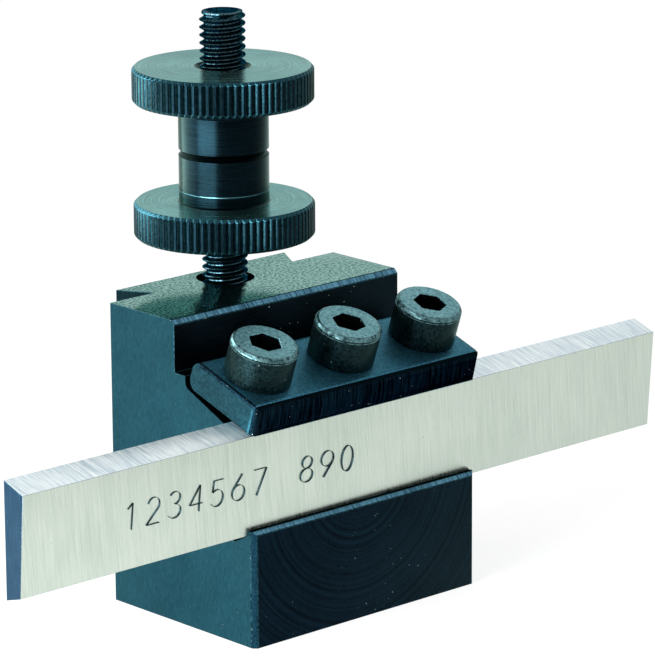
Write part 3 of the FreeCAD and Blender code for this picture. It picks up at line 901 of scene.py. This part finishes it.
@dataclass
class ThreadedRod:
    """A threaded rod about the Z axis with a flat foot and a dished top."""

    pitch: float
    crest: float
    root: float
    low: float
    high: float
    end: float
    run_out: float
    around: int
    dish: float = 0.0
    dish_depth: float = 0.0

    def mesh(self, tree: Tree, name: str) -> Mesh:
        """Wind the thread, cut it to length and close both ends.

        Args:
            tree: the thread's node tree.
            name: the mesh's name.

        Returns:
            A closed mesh in metres with the thread's and the end's finishes.
        """
        turns = math.ceil((self.high - self.low) / self.pitch) + 3
        made = linked(name, bpy.data.meshes.new(name))
        tree.run(made, {
            "Pitch": self.pitch * MM, "Crest": self.crest * MM, "Root": self.root * MM,
            "Turns": float(turns), "Low": (self.low - 1.5 * self.pitch) * MM,
            "High": self.high * MM, "Run-out": self.run_out * MM, "End": self.end * MM,
            "Around": float(self.around), "Finish": THREAD.material()})
        shape = bmesh.new()
        shape.from_mesh(made.data)
        bpy.data.objects.remove(made)
        for height, side in ((self.low, -1), (self.high, 1)):
            bmesh.ops.bisect_plane(
                shape, geom=shape.verts[:] + shape.edges[:] + shape.faces[:],
                plane_co=(0, 0, height * MM), plane_no=(0, 0, side), clear_outer=True,
                dist=0.0005 * MM)
        bmesh.ops.remove_doubles(shape, verts=shape.verts, dist=SEW)
        self.close_end(shape, self.low, [])
        rings = [(self.dish, 0.0), (self.dish * 0.8, 0.5), (self.dish * 0.45, 0.85)]
        self.close_end(shape, self.high, rings if self.dish else [])
        bmesh.ops.recalc_face_normals(shape, faces=shape.faces)
        mesh = plain(shape, name)
        mesh.uv_layers.new(name=TURNING_UV)
        mesh.materials.clear()
        mesh.materials.append(THREAD.material())
        mesh.materials.append(STUD_END.material())
        return mesh

    def close_end(self, shape: BMesh, height: float, rings: list[Pair]) -> None:
        """Close one end with rings that step inwards, or with one flat face.

        Args:
            shape: the open thread.
            height: the end's height in millimetres.
            rings: radius and share of the dish's depth of each ring.
        """
        rim = [edge for edge in shape.edges if edge.is_boundary
               and all(abs(vertex.co.z - height * MM) < ON_CUT for vertex in edge.verts)]
        for radius, share in rings:
            grown = bmesh.ops.extrude_edge_only(shape, edges=rim)["geom"]
            rim = []
            for item in grown:
                if isinstance(item, bmesh.types.BMVert):
                    flat = Vector((item.co.x, item.co.y, 0)).normalized() * radius * MM
                    item.co = flat + Vector((0, 0, (height - share * self.dish_depth) * MM))
                elif isinstance(item, bmesh.types.BMFace):
                    item.material_index = 1
                elif item.is_boundary:
                    rim.append(item)
        for face in bmesh.ops.edgeloop_fill(shape, edges=rim)["faces"]:
            face.material_index = 1


@dataclass
class HeightStud:
    """The M5 stud in the block's top."""

    foot: float = 19.25
    top: float = 58.8
    axis_y: float = -0.2

    def build(self, tree: Tree) -> Object:
        """Wind the stud's thread and stand it in the block."""
        rod = ThreadedRod(pitch=0.8, crest=2.35, root=1.88, low=self.foot, high=self.top,
                          end=2.06, run_out=0.45, around=48, dish=1.72, dish_depth=0.3)
        mesh = rod.mesh(tree, "stud")
        mesh.transform(Matrix.Translation((0, self.axis_y * MM, 0)))
        made = linked("stud", mesh)
        shaded(mesh, 30.0)
        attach(made, "block")
        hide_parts("height_stud")
        log.info("stud: %d faces", len(mesh.polygons))
        return made


class NutSide(Enum):
    """Which way a nut's disc faces."""

    DOWN = auto()
    UP = auto()


@dataclass
class KnurledNut:
    """One knurled nut: a disc with a hub, disc down or disc up."""

    name: str
    node: str
    side: NutSide
    foot: float
    axis_y: float = -0.2
    disc: float = 9.225
    disc_height: float = 3.6
    disc_edge: float = 0.3
    rounding: float = 0.04
    land_inset: float = 0.03
    hub: float = 4.6
    fillet: Pair = (0.15, 0.12)
    height: float = 8.75
    hub_edge: float = 0.35
    bore: float = 2.39
    sink: float = 2.9
    line: float = 4.7
    line_depth: float = 0.12
    line_steps: Triple = (0.06, 0.14, 0.2)
    teeth: int = 78
    depth: float = 0.28
    land: float = 0.4
    marks: tuple[float, ...] = (-0.2, 0.0, 0.2, 0.35, 0.5, 0.65)
    # The groove under the hub; by default it gets a painted highlight.
    line_finish: Finish = NUT_LINE_HIGHLIGHT

    def profile(self) -> list[tuple[float, float, Finish]]:
        """The nut's outline from the bore's foot: radius, height and finish of each run."""
        rim, low, high = self.disc, self.disc_edge, self.disc_height - self.disc_edge
        groove, steps = self.hub - self.line_depth, self.line_steps
        return [
            (self.bore, self.sink - self.bore, NUT_HUB),
            (self.sink, 0.0, NUT_FACE),
            (rim - low, 0.0, NUT_CHAMFER),
            (rim - self.rounding, low - self.rounding, NUT_CHAMFER),
            (rim, low + self.land_inset, NUT_LAND),
            (rim, high - self.land_inset, NUT_CHAMFER),
            (rim - self.rounding, high + self.rounding, NUT_CHAMFER),
            (rim - low, self.disc_height, NUT_FACE),
            (self.hub + self.fillet[0], self.disc_height, NUT_HUB),
            (self.hub, self.disc_height + self.fillet[1], NUT_HUB),
            (self.hub, self.line, self.line_finish),
            (groove, self.line + steps[0], self.line_finish),
            (groove, self.line + steps[1], self.line_finish),
            (self.hub, self.line + steps[2], NUT_HUB),
            (self.hub, self.height - self.hub_edge, NUT_GAP),
            (self.hub - self.hub_edge, self.height, NUT_FACE),
            (self.bore, self.height, NUT_HUB),
        ]

    def build(self, tree: Tree) -> Object:
        """Turn, knurl and place the nut."""
        runs = self.profile()
        angles = [
            2 * math.pi * (tooth + mark) / self.teeth
            for tooth in range(self.teeth) for mark in self.marks
        ]
        finishes = [
            NUT_FACE, NUT_HUB, NUT_CHAMFER, NUT_LAND, NUT_GROOVE, self.line_finish, NUT_GAP]
        mesh = Lathe(runs, angles).mesh(self.name, finishes)
        land = [finish for *_, finish in runs].index(NUT_LAND)
        for step in range(len(angles)):
            if self.marks[step % len(self.marks)] >= self.land / 2:
                face = mesh.polygons[step * len(runs) + land]
                face.material_index = finishes.index(NUT_GROOVE)
        made = linked(self.name, mesh)
        tree.run(made, {
            "Rim": self.disc * MM, "Depth": self.depth * MM, "Teeth": float(self.teeth),
            "Groove": 1 - self.land, "Finish": NUT_FACE.material()})
        outward(made.data)
        turn = Matrix.Rotation(math.pi if self.side is NutSide.UP else 0.0, 4, "X")
        shift = Matrix.Translation((0, self.axis_y * MM, self.foot * MM))
        made.data.transform(shift @ turn)
        shaded(made.data, 28.0)
        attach(made, self.node)
        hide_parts(self.node)
        log.info("%s: %d faces", self.name, len(made.data.polygons))
        return made


class RingKind(Enum):
    """Shape of one ring of a screw's head."""

    ROUND = auto()
    HEX = auto()


@dataclass
class CapScrew:
    """One M4 cap screw with a worn head and a hexagon socket."""

    name: str
    node: str
    body: str
    across: float
    turn: float
    seat: Pair = (-17.457458, 26.270742)
    tilt: float = 19.0
    head: float = 3.4
    head_height: float = 4.0
    flats: float = 1.5
    socket_depth: float = 2.2
    steps: int = 96
    finishes: tuple[Finish, ...] = (SCREW_TOP, SCREW_RIM, SCREW_SIDE, SCREW_SOCKET, THREAD)

    def ring(self, kind: RingKind, radius: float, height: float) -> list[Vector]:
        """One ring of the head's surface, in metres."""
        spots = []
        for step in range(self.steps):
            angle = 2 * math.pi * step / self.steps
            reach = radius
            if kind is RingKind.HEX:
                sixth = (angle - math.radians(self.turn)) % (math.pi / 3)
                reach = radius / math.cos(sixth - math.pi / 6)
            spots.append(Vector((math.cos(angle) * reach, math.sin(angle) * reach, height)) * MM)
        return spots

    def head_mesh(self, shape: BMesh) -> None:
        """Add the head from the shank up, over the rim and down into the socket."""
        top, edge, floor = self.head_height, self.head, self.head_height - self.socket_depth
        runs = [
            # Underside, with a small rounding at its rim
            (RingKind.ROUND, 1.2, 0.02, SCREW_SIDE),
            (RingKind.ROUND, edge - 0.2, 0.0, SCREW_SIDE),
            (RingKind.ROUND, edge - 0.05, 0.07, SCREW_SIDE),
            (RingKind.ROUND, edge, 0.22, SCREW_SIDE),
            # A forging line 0.07 mm deep, under the rim
            (RingKind.ROUND, edge, top - 0.66, SCREW_RIM),
            (RingKind.ROUND, edge - 0.07, top - 0.6, SCREW_SIDE),
            (RingKind.ROUND, edge - 0.07, top - 0.5, SCREW_SIDE),
            # The rim, rounded over to the top
            (RingKind.ROUND, edge, top - 0.42, SCREW_RIM),
            (RingKind.ROUND, edge - 0.02, top - 0.3, SCREW_RIM),
            (RingKind.ROUND, edge - 0.16, top - 0.1, SCREW_RIM),
            (RingKind.ROUND, edge - 0.34, top, SCREW_TOP),
            # The socket, with a broken edge and a drilled floor
            (RingKind.HEX, self.flats + 0.06, top, SCREW_TOP),
            (RingKind.HEX, self.flats, top - 0.06, SCREW_SOCKET),
            (RingKind.HEX, self.flats, floor, SCREW_SOCKET),
            (RingKind.ROUND, 0.9, floor - 0.15, SCREW_SOCKET),
        ]
        rings = [
            [shape.verts.new(spot) for spot in self.ring(kind, radius, height)]
            for kind, radius, height, _ in runs
        ]
        for lower, upper, (*_, finish) in zip(rings, rings[1:], runs):
            for step in range(self.steps):
                after = (step + 1) % self.steps
                face = shape.faces.new((lower[step], lower[after], upper[after], upper[step]))
                face.material_index = self.finishes.index(finish)
        for ring, finish in ((rings[0][::-1], SCREW_SIDE), (rings[-1], SCREW_SOCKET)):
            shape.faces.new(ring).material_index = self.finishes.index(finish)

    def build(self, tree: Tree) -> Object:
        """Make head and threaded shank, lean them and place them on the plate."""
        shape = bmesh.new()
        self.head_mesh(shape)
        rod = ThreadedRod(pitch=0.7, crest=1.925, root=1.55, low=-12.0, high=0.05, end=1.7,
                          run_out=0.8, around=32)
        shank = rod.mesh(tree, self.name + "_shank")
        for face in shank.polygons:
            face.material_index = self.finishes.index(THREAD)
        shape.from_mesh(shank)
        mesh = plain(shape, self.name)
        for finish in self.finishes:
            mesh.materials.append(finish.material())
        lean = Matrix.Rotation(math.radians(self.tilt), 4, "X")
        place = Matrix.Translation(Vector((self.across, *self.seat)) * MM)
        mesh.transform(place @ lean)
        made = linked(self.name, mesh)
        shaded(mesh, 20.0)
        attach(made, self.body)
        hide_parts(self.node)
        log.info("%s: %d faces", self.name, len(mesh.polygons))
        return made


@dataclass(frozen=True)
class Arc:
    """Part of an ellipse in a figure's box, which is 0.6 wide and 1 high."""

    middle: Pair
    radii: Pair
    start: float
    end: float

    def points(self) -> list[Pair]:
        """Points along the arc, at most 15 degrees apart."""
        count = math.ceil(abs(self.end - self.start) / 15)
        angles = [
            math.radians(self.start + (self.end - self.start) * step / count)
            for step in range(count + 1)
        ]
        return [
            (self.middle[0] + self.radii[0] * math.cos(angle),
             self.middle[1] + self.radii[1] * math.sin(angle))
            for angle in angles
        ]


# Strokes of plain figures, each a list of arcs and corners
Stroke = list[Arc | Pair]
FIGURES: dict[str, list[Stroke]] = {
    "0": [[Arc((0.3, 0.5), (0.28, 0.5), 0, 360)]],
    "1": [[(0.1, 0.8), (0.32, 1.0), (0.32, 0.0)]],
    "2": [[Arc((0.3, 0.72), (0.27, 0.28), 165, -35), (0.0, 0.0), (0.6, 0.0)]],
    "3": [[Arc((0.28, 0.765), (0.25, 0.235), 150, -90),
           Arc((0.28, 0.265), (0.3, 0.265), 90, -150)]],
    "4": [[(0.45, 0.0), (0.45, 1.0), (0.0, 0.3), (0.6, 0.3)]],
    "5": [[(0.54, 1.0), (0.1, 1.0), (0.06, 0.56), Arc((0.27, 0.32), (0.3, 0.32), 115, -145)]],
    "6": [[(0.44, 1.0), Arc((0.5, 0.3), (0.5, 0.42), 140, 180),
           Arc((0.3, 0.3), (0.3, 0.3), 180, 540)]],
    "7": [[(0.0, 1.0), (0.6, 1.0), (0.2, 0.0)]],
    "8": [[Arc((0.3, 0.765), (0.24, 0.235), 270, -90)],
          [Arc((0.3, 0.265), (0.3, 0.265), 90, 450)]],
    "9": [[(0.16, 0.0), Arc((0.1, 0.7), (0.5, 0.42), -40, 0),
           Arc((0.3, 0.7), (0.3, 0.3), 0, 360)]],
}


def stroke_tree() -> Tree:
    """Pen strokes: a small flat section swept along each drawn line."""
    tree = Tree("strokes", ["Width", "Thickness"])
    nodes, given = tree.nodes, tree.given
    lines = add(nodes, "GeometryNodeMeshToCurve", [given["Geometry"]])
    pen = add(nodes, "GeometryNodeCurvePrimitiveQuadrilateral", {
        "Width": given["Thickness"], "Height": given["Width"]})
    level = add(nodes, "GeometryNodeSetCurveNormal", {"Curve": lines}, mode="Z_UP")
    tree.close(add(nodes, "GeometryNodeCurveToMesh", {
        "Curve": level, "Profile Curve": pen, "Fill Caps": True}))
    return tree


@dataclass
class BladeMarking:
    """Plain figures etched on the blade's face."""

    groups: tuple[tuple[str, float], ...] = (("1234567", -31.0), ("890", -8.5))
    pitch: float = 2.71
    foot: float = 15.5
    size: float = 2.7
    slant: float = 0.04
    stroke_width: float = 0.31
    stroke_height: float = 0.03
    face_y: float = -20.3937
    face_z: float = 11.5
    relief: float = 4.0

    def build(self, tree: Tree) -> Object:
        """Write the figures flat, then lay them on the leaning face."""
        corners, edges = [], []
        places = [
            (figure, start + number * self.pitch)
            for text, start in self.groups for number, figure in enumerate(text)
        ]
        for figure, left in places:
            for stroke in FIGURES[figure]:
                first = len(corners)
                drawn = []
                for part in stroke:
                    drawn += part.points() if isinstance(part, Arc) else [part]
                corners += [
                    ((left + (across + up * self.slant) * self.size) * MM,
                     up * self.size * MM, 0.0)
                    for across, up in drawn
                ]
                edges += [(number, number + 1) for number in range(first, len(corners) - 1)]
        mesh = bpy.data.meshes.new("blade_marking")
        mesh.from_pydata(corners, edges, [])
        made = linked("blade_marking", mesh)
        tree.run(made, {
            "Width": self.stroke_width * MM, "Thickness": self.stroke_height * MM,
            "Finish": MARKING_INK.material()})
        outward(made.data)
        rise = (self.foot - self.face_z) * MM
        lean = math.radians(self.relief)
        upright = Matrix.Rotation(math.pi / 2 + lean, 4, "X")
        place = Matrix.Translation(
            (0, self.face_y * MM - rise * math.tan(lean), self.foot * MM))
        made.data.transform(place @ upright)
        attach(made, "blade")
        log.info("blade_marking: %d faces", len(made.data.polygons))
        return made


# Studio


@dataclass(frozen=True)
class Lamp:
    """A soft rectangular lamp that the camera doesn't see, in metres and watts."""

    name: str
    place: Triple
    size: Pair
    watts: float
    aim: Triple

    def hang(self) -> None:
        """Hang the lamp and turn it to its aim."""
        light = bpy.data.lights.new(self.name, "AREA")
        light.shape = "RECTANGLE"
        light.size, light.size_y = self.size
        light.energy = self.watts
        made = linked(self.name, light)
        made.location = self.place
        way = Vector(self.aim) - Vector(self.place)
        made.rotation_euler = way.to_track_quat("-Z", "Y").to_euler()
        made.visible_camera = False


LAMPS = (
    Lamp("side_lamp", (-0.1594, -0.014, 0.036), (0.142, 0.128), 1.36, (0.0, 0.0, 0.036)),
    Lamp("rear_side_lamp", (-0.0201, 0.0223, 0.047), (0.0306, 0.03), 0.023, (0.0, 0.0, 0.047)),
)


@dataclass
class Studio:
    """Table, soft lamps, world and camera."""

    table: float = 3.0
    turn: float = -42.502
    rise: float = 14.936
    roll: float = -0.339
    distance_mm: float = 436.4
    target_mm: Triple = (3.929, -11.3, 27.233)
    focal_px: float = 4319.84
    picture_px: float = 656.0
    sensor_mm: float = 36.0
    nearest: float = 0.01

    def lay_table(self) -> None:
        """A wide pale table under the object."""
        half = self.table / 2
        mesh = bpy.data.meshes.new("table")
        mesh.from_pydata(
            [(-half, -half, 0), (half, -half, 0), (half, half, 0), (-half, half, 0)], [],
            [(0, 1, 2, 3)])
        mesh.materials.append(FloorFinish().material())
        table = linked("table", mesh)

    def set_world(self) -> None:
        """Plain white all round, at the level at which white paper renders white."""
        bpy.context.scene.world = bpy.data.worlds.new("studio")
        tree = blank(bpy.context.scene.world)
        light = add(tree, "ShaderNodeBackground", [linear("#ffffff"), 1.0])
        add(tree, "ShaderNodeOutputWorld", [light])

    def place_camera(self) -> None:
        """Stand the camera where the picture was taken from."""
        turn, rise, roll = (math.radians(part) for part in (self.turn, self.rise, self.roll))
        right = Vector((math.cos(turn), math.sin(turn), 0))
        back = Vector((math.sin(turn) * math.cos(rise), -math.cos(turn) * math.cos(rise),
                       math.sin(rise)))
        up = back.cross(right)
        side = right * math.cos(roll) + up * math.sin(roll)
        top = up * math.cos(roll) - right * math.sin(roll)
        lens = bpy.data.cameras.new("camera")
        lens.sensor_width = self.sensor_mm
        lens.lens = self.focal_px * self.sensor_mm / self.picture_px
        lens.clip_start = self.nearest
        lens.dof.use_dof = False
        camera = linked("camera", lens)
        place = Vector(self.target_mm) * MM + back * self.distance_mm * MM
        axes = Matrix((side, top, back)).transposed().to_4x4()
        camera.matrix_world = Matrix.Translation(place) @ axes
        bpy.context.scene.camera = camera

    def build(self) -> None:
        """Set everything up."""
        self.lay_table()
        self.set_world()
        for lamp in LAMPS:
            lamp.hang()
        self.place_camera()
        bpy.context.scene.view_settings.view_transform = "Standard"
        log.info("studio: table, lamps, camera")


def main() -> None:
    """Build every piece, then the studio."""
    logging.basicConfig(level=logging.INFO, format="%(message)s")
    thread, knurl, strokes = thread_tree(), knurl_tree(), stroke_tree()
    HolderBlock().build()
    PartingBlade().build()
    ClampPlate().build()
    HeightStud().build(thread)
    KnurledNut("lower_nut", "height_nut", NutSide.DOWN, 35.7).build(knurl)
    # The upper nut's groove gets the plain hub finish, without the painted highlight.
    KnurledNut("upper_nut", "lock_nut", NutSide.UP, 53.2, line_depth=0.03,
               line_finish=NUT_HUB).build(knurl)
    CapScrew("screw_left", "clamp_screw_left", "screw_left", -11.1, 0.0).build(thread)
    CapScrew("screw_middle", "clamp_screw_middle", "screw_middle", 0.0, 10.0).build(thread)
    CapScrew("screw_right", "clamp_screw_right", "screw_right", 11.1, 22.0).build(thread)
    BladeMarking().build(strokes)
    Studio().build()


if __name__ == "__main__":
    main()
